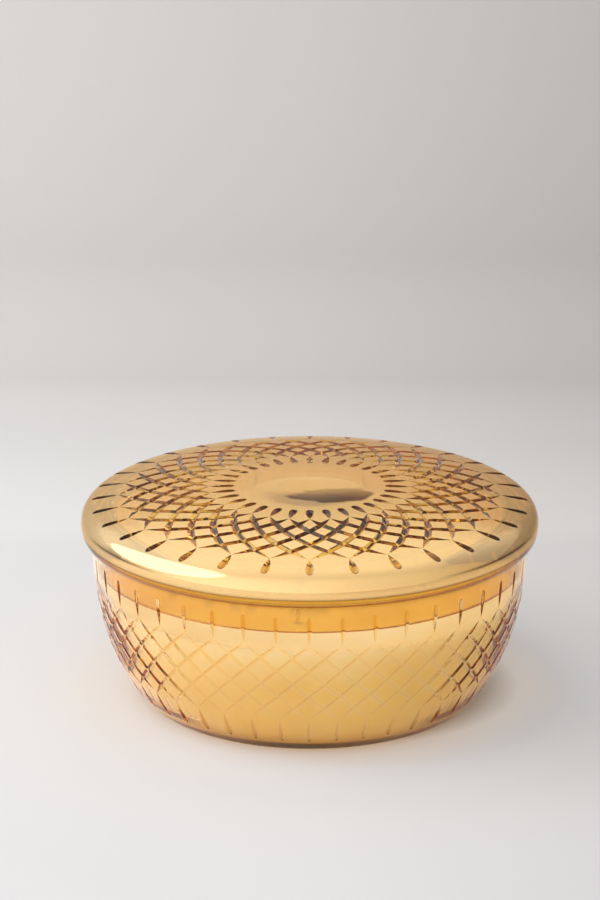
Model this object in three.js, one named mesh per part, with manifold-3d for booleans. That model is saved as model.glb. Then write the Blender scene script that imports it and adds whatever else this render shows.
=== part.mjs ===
// A lidded bowl of amber cut glass with a candle poured into it.
// Millimetres, +Z up. The origin is the middle of the base, on the surface that the bowl stands on,
// and -Y is the front.

import * as THREE from 'three';
import { mergeVertices } from 'three/addons/utils/BufferGeometryUtils.js';
import Module from 'manifold-3d';

const wasm = await Module();
wasm.setup();

// Clearances
const seatGap = 0.3;               // between a piece and what it rests on or is poured around
const collarClearance = 0.9;       // round the lid's collar, inside the bowl's mouth

// Bowl
const bowlHeight = 79.7;
const mouthRadius = 105.7;         // outside of the wall at the rim
const baseRadius = 81.2;           // outside of the wall at the table
const rimWall = 4;
const rimRound = 1.2;              // edge rounding of the rim
const floorThickness = 5;
const floorInset = 5.2;            // from the base's edge in to where the floor turns up into the wall
const straightMouth = 13.7;        // depth of the straight bore that takes the lid's collar
const footRingWidth = 8;
const footHollow = 0.8;            // rise of the base inside the foot ring
// Control points of the wall's two curves, as shares of their reach and rise from the base end.
const outerWallShares = [[0.624, 0.197], [0.947, 0.527]];
const innerWallShares = [[0.41, 0.025], [0.92, 0.6]];

// Lid
const lidRise = 21.8;              // from the lid's seat to its crown
const lidOverhang = 4.6;           // of the rolled rim, past the bowl's rim
const rimNoseHeight = 6;           // of the widest line of the rim, over the seat
const rimFootInset = 2.8;          // of the flat seat's edge, in from the widest line
const shoulderInset = 8.5;         // from the rim's widest line in to where the dome meets it
const shoulderDrop = 6.3;          // of the shoulder, below the crown
const dishRadius = 28;
const dishDepth = 1.2;
const domeThickness = 5.5;
const middleThickening = 1.4;      // more of it in the middle, where the glass was dropped in the mould
const collarDepth = 14.9;          // below the seat
const collarWall = 3.6;
const collarRound = 1.1;
const lidFillet = 6;               // inside, between the dome and the collar

// Cut pattern: two rings of leaf cuts, and between them two crossing sets of curved mitre cuts
const lidCutsAround = 32;
const bowlCutsAround = 44;
const crossingRows = 3;            // diamonds from one ring of tips to the other
const lidCutDepth = 1.2;
const lidCutHalfWidth = 1.7;
const bowlCutDepth = 0.6;
const bowlCutHalfWidth = 1.2;
const lidLeafDepth = 1.3;
const lidLeafHalfWidth = 1.9;
const bowlLeafDepth = 0.8;
const bowlLeafHalfWidth = 1.25;
// Where the rings of cuts lie, as shares of the curve that they are cut into: the first leaves' blunt
// ends, their tips, the other leaves' tips and their blunt ends.
const lidCutShares = [0.093, 0.229, 0.73, 0.882];
const bowlCutShares = [0.049, 0.215, 0.711, 0.897];
// A leaf cut's stations from its blunt end to its tip: shares of its length, half width and depth.
const leafShares = [[0, 0, 0], [0.24, 1, 1], [1, 0, 0]];

// Candle
const headSpace = 24.2;            // from the bowl's rim down to the wax
const waxEdgeRise = 0.8;           // the wax stands up this much where it meets the glass
const waxEdgeReach = 5;
const wickCount = 5;
const wickInset = 17.5;            // from where the floor turns up in to the ring of wicks
const wickTurn = -5.7;             // degrees from the front to the first wick
const wickRadius = 1.3;
const wickStandsOut = 8;           // above the wax
const wickTipLength = 1.2;
const stickerRadius = 9;
const stickerThickness = 1;
const tabRadius = 10;
const tabThickness = 0.5;
const neckWall = 0.5;
const neckHeight = 5;

// Resolution, as numbers of sides
const innerSides = 88;
const lidInnerSides = 64;
const smallSides = 12;
const wickSides = 8;

// Materials
const amberGlass = new THREE.MeshStandardMaterial({
  color: 0xd9a452, roughness: 0.05, metalness: 0, transparent: true, opacity: 0.6,
});
const creamWax = new THREE.MeshStandardMaterial({ color: 0xf4ead2, roughness: 0.55, metalness: 0 });
const cotton = new THREE.MeshStandardMaterial({ color: 0xf2ede0, roughness: 0.95, metalness: 0 });
const tinnedSteel = new THREE.MeshStandardMaterial({ color: 0xc4c5c8, roughness: 0.35, metalness: 1 });
const padFoam = new THREE.MeshStandardMaterial({ color: 0xe9e6de, roughness: 0.9, metalness: 0 });

const point = (radius, height) => new THREE.Vector2(radius, height);

// Places on a profile curve, in the plane of radius and height

// The cubic curve from one end to the other, with its two controls as shares of the reach and rise.
function shareCurve(from, to, shares) {
  const controls = shares.map(([reach, rise]) => point(
    THREE.MathUtils.lerp(from.x, to.x, reach),
    THREE.MathUtils.lerp(from.y, to.y, rise),
  ));
  return new THREE.CubicBezierCurve(from, controls[0], controls[1], to);
}

// The place at a share of a curve's length, sunk square to the curve. The solid is on the curve's
// right-hand side as it is followed.
function sunk(curve, share, depth) {
  const place = curve.getPointAt(share);
  const along = curve.getTangentAt(share);
  return point(place.x + along.y * depth, place.y - along.x * depth);
}

// Points along part of a curve, both ends included.
function sampled(curve, count, depth = 0) {
  return Array.from({ length: count + 1 }, (unused, step) => sunk(curve, step / count, depth));
}

// A closed surface made ring by ring, from a point on the axis round to the axis again. The solid is on
// the right-hand side of the profile that the rings follow.
function makeSkin(stepsAround) {
  const positions = [];
  const triangles = [];
  const stepAngle = 2 * Math.PI / stepsAround;

  // Steps are counted from the front, anticlockwise seen from above.
  function vertex(place, step) {
    const angle = step * stepAngle - Math.PI / 2;
    positions.push(place.x * Math.cos(angle), place.x * Math.sin(angle), place.y);
    return positions.length / 3 - 1;
  }

  function face(a, b, c) {
    if (a !== b && b !== c && c !== a) triangles.push(a, b, c);
  }

  function quad(a, b, c, d) {
    face(a, b, c);
    face(a, c, d);
  }

  // A plain ring with its vertices evenly spaced.
  function ring(place, sides) {
    return Array.from({ length: sides }, (unused, side) => {
      const step = side * stepsAround / sides;
      return { step, index: vertex(place, step) };
    });
  }

  // Closes the strip between two rings, whatever their numbers of vertices.
  function bridge(first, second) {
    let i = 0;
    let j = 0;
    const at = (rim, k) => rim[k % rim.length].step + Math.floor(k / rim.length) * stepsAround;
    const named = (rim, k) => rim[k % rim.length].index;
    while (i < first.length || j < second.length) {
      const stepFirst = j >= second.length || (i < first.length && at(first, i + 1) <= at(second, j + 1));
      if (stepFirst) {
        face(named(first, i), named(second, j), named(first, i + 1));
        i += 1;
      } else {
        face(named(first, i), named(second, j), named(second, j + 1));
        j += 1;
      }
    }
    return second;
  }

  // Plain rings one after the other, starting from a ring that is already there.
  function follow(start, places, sides) {
    return places.reduce((last, place) => bridge(last, ring(place, sides)), start);
  }

  // The disc from a place on the axis to a ring, or from a ring to the axis.
  function openOnAxis(place, rim) {
    const centre = vertex(place, 0);
    rim.forEach(({ index }, k) => face(centre, index, rim[(k + 1) % rim.length].index));
    return rim;
  }

  function closeOnAxis(rim, place) {
    const centre = vertex(place, 0);
    rim.forEach(({ index }, k) => face(centre, rim[(k + 1) % rim.length].index, index));
  }

  function geometry() {
    const made = new THREE.BufferGeometry();
    made.setAttribute('position', new THREE.Float32BufferAttribute(positions, 3));
    made.setIndex(triangles);
    made.computeVertexNormals();
    return made;
  }

  return { stepsAround, stepAngle, vertex, face, quad, ring, bridge, follow, openOnAxis, closeOnAxis, geometry };
}

// A ring through the leaf cuts: each leaf's edge, bottom and other edge, and the glass between leaves.
function leafRing(skin, curve, share, halfWidth, depth) {
  const surface = sunk(curve, share, 0);
  const halfSteps = halfWidth / (surface.x * skin.stepAngle);
  const stations = halfWidth > 0
    ? [[-halfSteps, 0], [0, depth], [halfSteps, 0], [0.5, 0]]
    : [[0, 0], [0.5, 0]];
  return Array.from({ length: skin.stepsAround }, (unused, leaf) => stations.map(([offset, sink]) => {
    const step = leaf + offset;
    return { step, index: skin.vertex(sunk(curve, share, sink), step) };
  })).flat();
}

// A ring of leaf cuts between two shares of the curve, blunt end first or tip first.
function leafCuts(skin, last, curve, bluntShare, tipShare, halfWidth, depth) {
  const tipFirst = tipShare < bluntShare;
  const stations = tipFirst ? leafShares.toReversed() : leafShares;
  const rings = stations.map(([along, wide, deep]) => leafRing(
    skin, curve, THREE.MathUtils.lerp(bluntShare, tipShare, along), wide * halfWidth, deep * depth,
  ));
  if (tipFirst) {
    // The tips are the ring that the mitre cuts end on, which is there already.
    rings[0] = last;
  } else {
    skin.bridge(last, rings[0]);
  }
  rings.reduce((before, after) => skin.bridge(before, after));
  return rings.at(-1);
}

// The crossing mitre cuts. Cuts of one set run forwards as they go along the curve and those of the
// other run backwards, and both meet the tips of the leaf cuts. Row n of crossings is n half steps in.
function mitreCuts(skin, startRing, curve, startShare, endShare, halfWidth, depth) {
  const around = skin.stepsAround;
  const lastRow = 2 * crossingRows;
  const length = (endShare - startShare) * curve.getLength();
  const shareOf = (row) => THREE.MathUtils.lerp(startShare, endShare, row / lastRow);
  const wrap = (column) => (column + around) % around;

  // Crossing points by row and column: the two outer rows are the tips, on the surface.
  const endRing = leafRing(skin, curve, endShare, 0, 0);
  const crossings = [];
  for (let row = 0; row <= lastRow; row += 1) {
    crossings.push(Array.from({ length: around }, (unused, column) => {
      if (row === 0) return startRing[2 * column].index;
      if (row === lastRow) return endRing[2 * wrap(column + crossingRows)].index;
      return skin.vertex(sunk(curve, shareOf(row), depth), column + row / 2);
    }));
  }

  // A corner of a diamond's flat, set back from the crossing by the half width of both cuts.
  function flatCorner(row, column, rowsIn, stepsIn) {
    if (row === 0 || row === lastRow) return crossings[row][wrap(column)];
    const radius = sunk(curve, shareOf(row), 0).x;
    const pitch = 1 / Math.hypot(1 / (radius * skin.stepAngle), crossingRows / length);
    const inset = halfWidth / pitch;
    const place = sunk(curve, shareOf(row + 2 * rowsIn * inset), 0);
    return skin.vertex(place, column + row / 2 + stepsIn * inset);
  }

  for (let row = 0; row <= lastRow; row += 1) {
    for (let column = 0; column < around; column += 1) {
      const back = crossings[row][column];
      const front = crossings[row][wrap(column + 1)];
      const flatBack = flatCorner(row, column, 0, 1);
      const flatFront = flatCorner(row, column + 1, 0, -1);
      // The two far cuts, or the smooth glass where the diamond is open to it.
      if (row < lastRow) {
        const far = crossings[row + 1][column];
        const flatFar = flatCorner(row + 1, column, -1, 0);
        skin.quad(back, far, flatFar, flatBack);
        skin.quad(far, front, flatFront, flatFar);
        skin.face(flatBack, flatFar, flatFront);
      } else {
        const middle = endRing[2 * wrap(column + crossingRows) + 1].index;
        skin.face(flatBack, middle, flatFront);
      }
      // The two near cuts.
      if (row > 0) {
        const near = crossings[row - 1][wrap(column + 1)];
        const flatNear = flatCorner(row - 1, column + 1, 1, 0);
        skin.quad(front, near, flatNear, flatFront);
        skin.quad(near, back, flatBack, flatNear);
        skin.face(flatBack, flatFront, flatNear);
      } else {
        const middle = startRing[2 * column + 1].index;
        skin.face(flatBack, flatFront, middle);
      }
    }
  }
  return endRing;
}

// The whole cut pattern along a curve, from the ring before it to the ring after it.
function cutPattern(skin, last, curve, cuts) {
  const [firstBlunt, firstTip, secondTip, secondBlunt] = cuts.shares;
  const tips = leafCuts(skin, last, curve, firstBlunt, firstTip, cuts.leafHalfWidth, cuts.leafDepth);
  const moreTips = mitreCuts(skin, tips, curve, firstTip, secondTip, cuts.halfWidth, cuts.depth);
  return leafCuts(skin, moreTips, curve, secondBlunt, secondTip, cuts.leafHalfWidth, cuts.leafDepth);
}

// The bowl: a floor, a flared wall of even thickness, a straight mouth and a foot ring

const boreRadius = mouthRadius - rimWall;
const floorRadius = baseRadius - floorInset;
const boreBottom = bowlHeight - straightMouth;
const innerWall = shareCurve(
  point(floorRadius, floorThickness), point(boreRadius, boreBottom), innerWallShares,
);
const outerWallUp = shareCurve(
  point(baseRadius, 0), point(mouthRadius, bowlHeight - rimRound), outerWallShares,
);
const outerWall = new THREE.CubicBezierCurve(outerWallUp.v3, outerWallUp.v2, outerWallUp.v1, outerWallUp.v0);

function bowlGeometry() {
  const skin = makeSkin(bowlCutsAround);
  const wallSteps = 7;
  const lipSteps = 2;
  const innerLip = new THREE.QuadraticBezierCurve(
    point(boreRadius, bowlHeight - rimRound),
    point(boreRadius, bowlHeight),
    point(boreRadius + rimRound, bowlHeight),
  );
  const outerLip = new THREE.QuadraticBezierCurve(
    point(mouthRadius - rimRound, bowlHeight),
    point(mouthRadius, bowlHeight),
    point(mouthRadius, bowlHeight - rimRound),
  );
  const floorRing = skin.ring(innerWall.getPointAt(0), innerSides);
  skin.openOnAxis(point(0, floorThickness), floorRing);
  const rimTop = skin.follow(floorRing, [
    ...sampled(innerWall, wallSteps).slice(1),
    ...sampled(innerLip, lipSteps),
  ], innerSides);
  const wallTop = skin.follow(rimTop, sampled(outerLip, lipSteps), innerSides);
  const cutEnd = cutPattern(skin, wallTop, outerWall, {
    shares: bowlCutShares,
    halfWidth: bowlCutHalfWidth,
    depth: bowlCutDepth,
    leafHalfWidth: bowlLeafHalfWidth,
    leafDepth: bowlLeafDepth,
  });
  const footInner = baseRadius - footRingWidth;
  const footEnd = skin.follow(cutEnd, [
    outerWall.getPointAt((1 + bowlCutShares.at(-1)) / 2),
    point(baseRadius, 0),
    point(footInner, 0),
    point(footInner - footHollow, footHollow),
  ], innerSides);
  skin.closeOnAxis(footEnd, point(0, footHollow));
  return skin.geometry();
}

// The lid: a low dome with a dished middle and a rolled rim, and a collar that drops into the mouth

const lidSeat = bowlHeight + seatGap;
const crown = lidSeat + lidRise;
const collarRadius = boreRadius - collarClearance;
const lidRadius = mouthRadius + lidOverhang;
const shoulderRadius = lidRadius - shoulderInset;

function lidGeometry() {
  const skin = makeSkin(lidCutsAround);
  const shoulder = point(shoulderRadius, crown - shoulderDrop);
  const nose = point(lidRadius, lidSeat + rimNoseHeight);
  const dome = new THREE.QuadraticBezierCurve(
    point(dishRadius, crown),
    point((dishRadius + shoulderRadius) / 2, crown),
    shoulder,
  );
  const domeEnd = dome.getTangentAt(1);
  const rollReach = (nose.x - shoulder.x) * 2 / 3;
  const roll = new THREE.CubicBezierCurve(
    shoulder,
    point(shoulder.x + rollReach, shoulder.y + rollReach * domeEnd.y / domeEnd.x),
    point(nose.x, THREE.MathUtils.lerp(nose.y, shoulder.y, 0.5)),
    nose,
  );
  // The leaf cuts run a little way over the shoulder, so the pattern follows both curves as one.
  const top = new THREE.CurvePath();
  top.add(dome);
  top.add(roll);
  const under = new THREE.QuadraticBezierCurve(
    nose, point(nose.x, lidSeat), point(nose.x - rimFootInset, lidSeat),
  );
  const collarInner = collarRadius - collarWall;
  const collarEnd = lidSeat - collarDepth;
  const collarTip = new THREE.CubicBezierCurve(
    point(collarRadius, collarEnd + collarRound),
    point(collarRadius, collarEnd),
    point(collarInner, collarEnd),
    point(collarInner, collarEnd + collarRound),
  );
  // The ceiling keeps the dome's thickness, down to the fillet over the collar.
  const ceiling = sampled(dome, 4, domeThickness).filter((place) => place.x < collarInner - lidFillet);
  const filletTop = sunk(dome, (collarInner - lidFillet - dishRadius) / (shoulderRadius - dishRadius), domeThickness);
  const fillet = new THREE.QuadraticBezierCurve(
    point(collarInner, filletTop.y - lidFillet),
    point(collarInner, filletTop.y),
    filletTop,
  );

  const dishRing = skin.ring(
    point(dishRadius / 2, crown - dishDepth * 3 / 4), lidCutsAround,
  );
  skin.openOnAxis(point(0, crown - dishDepth), dishRing);
  const dishEdge = skin.follow(dishRing, [
    point(dishRadius * 3 / 4, crown - dishDepth / 4),
    point(dishRadius, crown),
  ], lidInnerSides);
  const cutEnd = cutPattern(skin, dishEdge, top, {
    shares: lidCutShares,
    halfWidth: lidCutHalfWidth,
    depth: lidCutDepth,
    leafHalfWidth: lidLeafHalfWidth,
    leafDepth: lidLeafDepth,
  });
  const rollSteps = 4;
  const restOfRoll = Array.from({ length: rollSteps }, (unused, step) => (
    sunk(top, THREE.MathUtils.lerp(lidCutShares.at(-1), 1, (step + 1) / rollSteps), 0)
  ));
  const ceilingEnd = skin.follow(cutEnd, [
    ...restOfRoll,
    ...sampled(under, 3).slice(1),
    point(collarRadius, lidSeat),
    ...sampled(collarTip, 3),
    ...sampled(fillet, 2),
    ...ceiling.toReversed(),
    point(dishRadius / 2, crown - dishDepth - domeThickness - middleThickening / 2),
  ], lidInnerSides);
  skin.closeOnAxis(ceilingEnd, point(0, crown - dishDepth - domeThickness - middleThickening));
  return skin.geometry();
}

// The candle: wax poured round wicks whose tabs are stuck to the bowl's floor

const stickerBottom = floorThickness + seatGap;
const tabBottom = stickerBottom + stickerThickness + seatGap;
const neckRadius = wickRadius + seatGap + neckWall;
const wickBottom = tabBottom;
const waxBottom = floorThickness + seatGap;
const waxTop = bowlHeight - headSpace;
const wickRingRadius = floorRadius - wickInset;

function lathe(profile, sides) {
  return new THREE.LatheGeometry(profile, sides).rotateX(Math.PI / 2);
}

// The places of the wicks round their ring.
const wickPlaces = Array.from({ length: wickCount }, (unused, wick) => {
  const angle = THREE.MathUtils.degToRad(wickTurn + wick * 360 / wickCount) - Math.PI / 2;
  return new THREE.Vector3(wickRingRadius * Math.cos(angle), wickRingRadius * Math.sin(angle), 0);
});

function stickerGeometry() {
  return lathe([
    point(0, stickerBottom),
    point(stickerRadius, stickerBottom),
    point(stickerRadius, stickerBottom + stickerThickness),
    point(0, stickerBottom + stickerThickness),
  ], smallSides);
}

// A stamped tab: a round plate with a short neck drawn up from it, which the wick is crimped into.
function tabGeometry() {
  const neckInner = wickRadius + seatGap;
  const plateTop = tabBottom + tabThickness;
  return lathe([
    point(neckInner, tabBottom),
    point(tabRadius, tabBottom),
    point(tabRadius, plateTop),
    point(neckRadius + tabThickness, plateTop),
    point(neckRadius, plateTop + tabThickness),
    point(neckRadius, tabBottom + neckHeight),
    point(neckInner, tabBottom + neckHeight),
    point(neckInner, tabBottom),
  ], smallSides);
}

function wickGeometry() {
  const tip = waxTop + wickStandsOut;
  return lathe([
    point(0, wickBottom),
    point(wickRadius, wickBottom),
    point(wickRadius, tip - wickTipLength),
    point(wickRadius / 2, tip),
    point(0, tip),
  ], wickSides);
}

// What the wax leaves free round one wick, its tab and its sticker.
function wickCutter() {
  const overrun = wickStandsOut;
  const plateTop = tabBottom + tabThickness + seatGap;
  const neckTop = tabBottom + neckHeight + seatGap;
  return lathe([
    point(0, waxBottom - overrun),
    point(tabRadius + seatGap, waxBottom - overrun),
    point(tabRadius + seatGap, plateTop),
    point(neckRadius + tabThickness + seatGap, plateTop),
    point(neckRadius + seatGap, plateTop + tabThickness),
    point(neckRadius + seatGap, neckTop),
    point(wickRadius + seatGap, neckTop),
    point(wickRadius + seatGap, waxTop + overrun),
    point(0, waxTop + overrun),
  ], smallSides);
}

function solidOf(geometry) {
  const bare = new THREE.BufferGeometry();
  bare.setAttribute('position', geometry.getAttribute('position'));
  bare.setIndex(geometry.getIndex());
  const merged = mergeVertices(bare);
  return new wasm.Manifold(new wasm.Mesh({
    numProp: 3,
    vertProperties: merged.getAttribute('position').array,
    triVerts: new Uint32Array(merged.getIndex().array),
  }));
}

function geometryOf(solid) {
  const mesh = solid.getMesh();
  const made = new THREE.BufferGeometry();
  made.setAttribute('position', new THREE.BufferAttribute(mesh.vertProperties, 3));
  made.setIndex(new THREE.BufferAttribute(mesh.triVerts, 1));
  made.computeVertexNormals();
  return made;
}

// The share of a rising curve's length at which it reaches a height.
function shareAtHeight(curve, height) {
  let low = 0;
  let high = 1;
  while (high - low > 1e-6) {
    const middle = (low + high) / 2;
    if (curve.getPointAt(middle).y < height) low = middle;
    else high = middle;
  }
  return low;
}

function waxGeometry() {
  const wallSteps = 6;
  const sides = innerSides / 2;
  // The wax follows the inside of the bowl up to its own top.
  const wallPlaces = sampled(innerWall, wallSteps, -seatGap).filter((place) => place.y < waxTop - waxEdgeRise);
  const topShare = shareAtHeight(innerWall, waxTop + waxEdgeRise);
  const edge = sunk(innerWall, topShare, -seatGap);
  const body = lathe([
    point(0, waxBottom),
    ...wallPlaces.map((place) => point(place.x, Math.max(place.y, waxBottom))),
    edge,
    point(edge.x - waxEdgeReach / 3, waxTop + waxEdgeRise / 3),
    point(edge.x - waxEdgeReach, waxTop),
    point(0, waxTop),
  ], sides);
  let solid = solidOf(body);
  for (const place of wickPlaces) {
    const cutter = wickCutter().translate(place.x, place.y, 0);
    solid = solid.subtract(solidOf(cutter));
  }
  return geometryOf(solid);
}

function named(name, geometry, material, place = new THREE.Vector3()) {
  const mesh = new THREE.Mesh(geometry, material);
  mesh.name = name;
  mesh.position.copy(place);
  return mesh;
}

// Assembly
const group = new THREE.Group();
group.add(named('glass_bowl', bowlGeometry(), amberGlass));
group.add(named('glass_lid', lidGeometry(), amberGlass));
group.add(named('wax_fill', waxGeometry(), creamWax));
wickPlaces.forEach((place, wick) => {
  group.add(named(`wick_sticker_${wick + 1}`, stickerGeometry(), padFoam, place));
  group.add(named(`wick_tab_${wick + 1}`, tabGeometry(), tinnedSteel, place));
  group.add(named(`wick_${wick + 1}`, wickGeometry(), cotton, place));
});

export default group;
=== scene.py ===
import math

import bmesh
import bpy
import numpy as np
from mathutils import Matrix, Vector


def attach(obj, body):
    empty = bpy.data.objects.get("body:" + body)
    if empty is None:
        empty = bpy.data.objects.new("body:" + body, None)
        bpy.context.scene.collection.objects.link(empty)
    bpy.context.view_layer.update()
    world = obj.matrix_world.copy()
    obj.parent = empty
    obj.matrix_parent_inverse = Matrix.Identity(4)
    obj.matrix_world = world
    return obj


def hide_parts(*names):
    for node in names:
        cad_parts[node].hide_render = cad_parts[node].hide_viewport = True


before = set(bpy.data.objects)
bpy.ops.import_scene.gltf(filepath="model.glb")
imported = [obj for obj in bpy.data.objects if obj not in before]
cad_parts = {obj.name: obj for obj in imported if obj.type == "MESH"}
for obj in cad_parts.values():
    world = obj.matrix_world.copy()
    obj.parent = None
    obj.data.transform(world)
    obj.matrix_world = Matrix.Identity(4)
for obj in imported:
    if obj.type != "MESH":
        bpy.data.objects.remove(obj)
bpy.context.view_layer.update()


# The camera is where the photographer's was: a little over a metre in front of the bowl and looking
# down at it by about 17 degrees, with a long lens that flattens the bowl's round outline.

looks_down = math.radians(17.36)
camera_roll = 0.004

bpy.ops.object.camera_add(
    location=(0.0, -1.1708, 0.4858),
    rotation=(math.pi / 2 - looks_down, 0.0, camera_roll),
)
camera = bpy.context.object
camera.name = "photo_camera"
camera.data.lens = 102.4
camera.data.sensor_width = 36.0
camera.data.clip_start = 0.05
bpy.context.scene.camera = camera
bpy.context.scene.view_settings.view_transform = "Standard"


# The studio: a sweep of pale grey paper that runs forward under the bowl and turns up into a wall
# not half a metre behind it. Its right-hand side gets less of the lamp, as in the photograph.

sweep_front = -2.6
sweep_bend = 0.40
sweep_bend_radius = 0.10
sweep_half_width = 2.4
sweep_top = 0.46

bpy.ops.object.select_all(action="DESELECT")
bpy.ops.mesh.primitive_plane_add(size=1.0, location=(0.0, 0.0, 0.0))
sweep = bpy.context.object
sweep.name = "paper_sweep"
for corner in sweep.data.vertices:
    corner.co.x *= 2 * sweep_half_width
    corner.co.y = sweep_bend if corner.co.y > 0 else sweep_front
bpy.ops.object.mode_set(mode="EDIT")
bpy.ops.mesh.select_all(action="DESELECT")
edit = bmesh.from_edit_mesh(sweep.data)
for edge in edit.edges:
    edge.select_set(all(end.co.y > sweep_bend - 0.01 for end in edge.verts))
bmesh.update_edit_mesh(sweep.data)
bpy.ops.mesh.spin(
    steps=24,
    angle=math.radians(90.0),
    center=(0.0, sweep_bend, sweep_bend_radius),
    axis=(-1.0, 0.0, 0.0),
)
bpy.ops.mesh.extrude_region_move(
    TRANSFORM_OT_translate={"value": (0.0, 0.0, sweep_top - sweep_bend_radius)},
)
bpy.ops.object.mode_set(mode="OBJECT")
bpy.ops.object.shade_smooth()


def new_material(name):
    """An empty node material with its output, and a way to add nodes to it."""
    material = bpy.data.materials.new(name)
    material.use_nodes = True
    tree = material.node_tree
    tree.nodes.clear()
    output = tree.nodes.new("ShaderNodeOutputMaterial")

    def add(kind, inputs=None, **settings):
        node = tree.nodes.new(kind)
        for setting, value in settings.items():
            setattr(node, setting, value)
        for socket, value in (inputs or {}).items():
            if isinstance(value, bpy.types.NodeSocket):
                tree.links.new(value, node.inputs[socket])
            else:
                node.inputs[socket].default_value = value
        return node

    return material, output, tree.links.new, add


def set_ramp(node, stops):
    """Puts a colour ramp's stops where they are given, as places and colours."""
    ramp = node.color_ramp
    while len(ramp.elements) > 1:
        ramp.elements.remove(ramp.elements[-1])
    for number, (place, colour) in enumerate(stops):
        stop = ramp.elements[0] if number == 0 else ramp.elements.new(place)
        stop.position = place
        stop.color = (*colour, 1.0)


def ranged(add, value, low, high, to_low=0.0, to_high=1.0, **settings):
    """A value that goes from one number to another while the given value goes from low to high."""
    return add(
        "ShaderNodeMapRange",
        {"Value": value, "From Min": low, "From Max": high, "To Min": to_low, "To Max": to_high},
        **settings,
    ).outputs["Result"]


def worked_out(add, operation, *values):
    """What an operation gives for some values."""
    return add("ShaderNodeMath", dict(enumerate(values)), operation=operation).outputs["Value"]


def mixed(add, share, first, second, **settings):
    """Two colours mixed by a share."""
    inputs = {"Factor": share, "A": first, "B": second}
    return add("ShaderNodeMix", inputs, data_type="RGBA", **settings).outputs["Result"]


paper, output, link, add = new_material("pale_grey_paper")
place = add("ShaderNodeTexCoord").outputs["Object"]
along = add("ShaderNodeSeparateXYZ", {"Vector": place})
# Painted shade: the floor's and the wall's tones are darker towards the right-hand side.
across_share = ranged(add, along.outputs["X"], -0.40, 0.40)
floor_tone = add("ShaderNodeValToRGB", {"Fac": across_share})
set_ramp(floor_tone, [
    (0.0, (0.80, 0.802, 0.812)),
    (0.5, (0.785, 0.776, 0.776)),
    (1.0, (0.575, 0.56, 0.552)),
])
wall_tone = add("ShaderNodeValToRGB", {"Fac": across_share})
set_ramp(wall_tone, [
    (0.0, (0.935, 0.93, 0.926)),
    (0.5, (0.845, 0.812, 0.792)),
    (1.0, (0.615, 0.592, 0.578)),
])
turned_up = ranged(add, along.outputs["Z"], 0.0, 0.02, interpolation_type="SMOOTHSTEP")
tone = mixed(add, turned_up, floor_tone.outputs["Color"], wall_tone.outputs["Color"])
# Painted shade: the paper is darkest in the bend where it turns up, a little lighter up the wall, and a
# touch lighter on the floor before the bend.
back_and_up = worked_out(add, "ADD", along.outputs["Y"], along.outputs["Z"])
painted_turn_shade = add("ShaderNodeValToRGB", {"Fac": ranged(add, back_and_up, 0.2, 0.7)})
set_ramp(painted_turn_shade, [
    (0.0, (1.0, 1.0, 1.0)),
    (0.06, (1.05, 1.045, 1.035)),
    (0.25, (1.03, 1.02, 1.0)),
    (0.4, (0.99, 0.98, 0.96)),
    (0.474, (0.895, 0.885, 0.875)),
    (0.575, (0.72, 0.72, 0.72)),
    (0.73, (0.765, 0.765, 0.765)),
    (0.87, (0.805, 0.805, 0.805)),
    (1.0, (0.82, 0.82, 0.82)),
])
shaded = mixed(add, 1.0, tone, painted_turn_shade.outputs["Color"], blend_type="MULTIPLY")


def distance_from(middle):
    """How far a place on the paper is from a point."""
    return add("ShaderNodeVectorMath", {0: place, 1: middle}, operation="DISTANCE").outputs["Value"]


# Light that the bowl throws down keeps its shadow pale, and painted light round the bowl makes the paper
# paler still, with painted shade close to its foot.
near_share = ranged(add, distance_from((0.03, 0.0, 0.0)), 0.055, 0.24)
painted_light_near_bowl = add("ShaderNodeValToRGB", {"Fac": near_share})
set_ramp(painted_light_near_bowl, [
    (0.016, (0.80, 0.83, 0.85)),
    (0.097, (1.08, 1.12, 1.16)),
    (0.162, (0.96, 1.0, 1.05)),
    (0.216, (0.90, 0.945, 1.01)),
    (0.265, (0.88, 0.94, 1.02)),
    (0.351, (0.86, 0.90, 0.96)),
    (0.459, (0.83, 0.85, 0.88)),
    (0.622, (0.82, 0.83, 0.85)),
    (1.0, (0.805, 0.805, 0.805)),
])
lifted = mixed(add, 1.0, shaded, painted_light_near_bowl.outputs["Color"], blend_type="MULTIPLY")
# A soft painted shadow lies on the paper in front of the bowl's right-hand side.
from_painted_shadow = distance_from((0.135, -0.06, 0.0))
painted_shadow_patch = ranged(add, from_painted_shadow, 0.0, 0.11, 0.93, 1.0, interpolation_type="SMOOTHSTEP")
# Painted reflection: the glass mirrors the paper paler, 1.32 times as bright as the camera sees it.
painted_reflection_lift = ranged(add, add("ShaderNodeLightPath").outputs["Is Glossy Ray"], 0.0, 1.0, 1.0, 1.32)
strength = worked_out(add, "MULTIPLY", painted_reflection_lift, painted_shadow_patch)
shown = add("ShaderNodeVectorMath", {0: lifted, "Scale": strength}, operation="SCALE")
fibre = add("ShaderNodeTexNoise", {"Vector": place, "Scale": 900.0, "Detail": 3.0})
fibre_relief = add(
    "ShaderNodeBump", {"Height": fibre.outputs["Fac"], "Strength": 0.05, "Distance": 0.0002},
)
front = add("ShaderNodeBsdfPrincipled", {"Roughness": 0.95, "Specular IOR Level": 0.1})
link(shown.outputs["Vector"], front.inputs["Base Color"])
link(fibre_relief.outputs["Normal"], front.inputs["Normal"])
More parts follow.
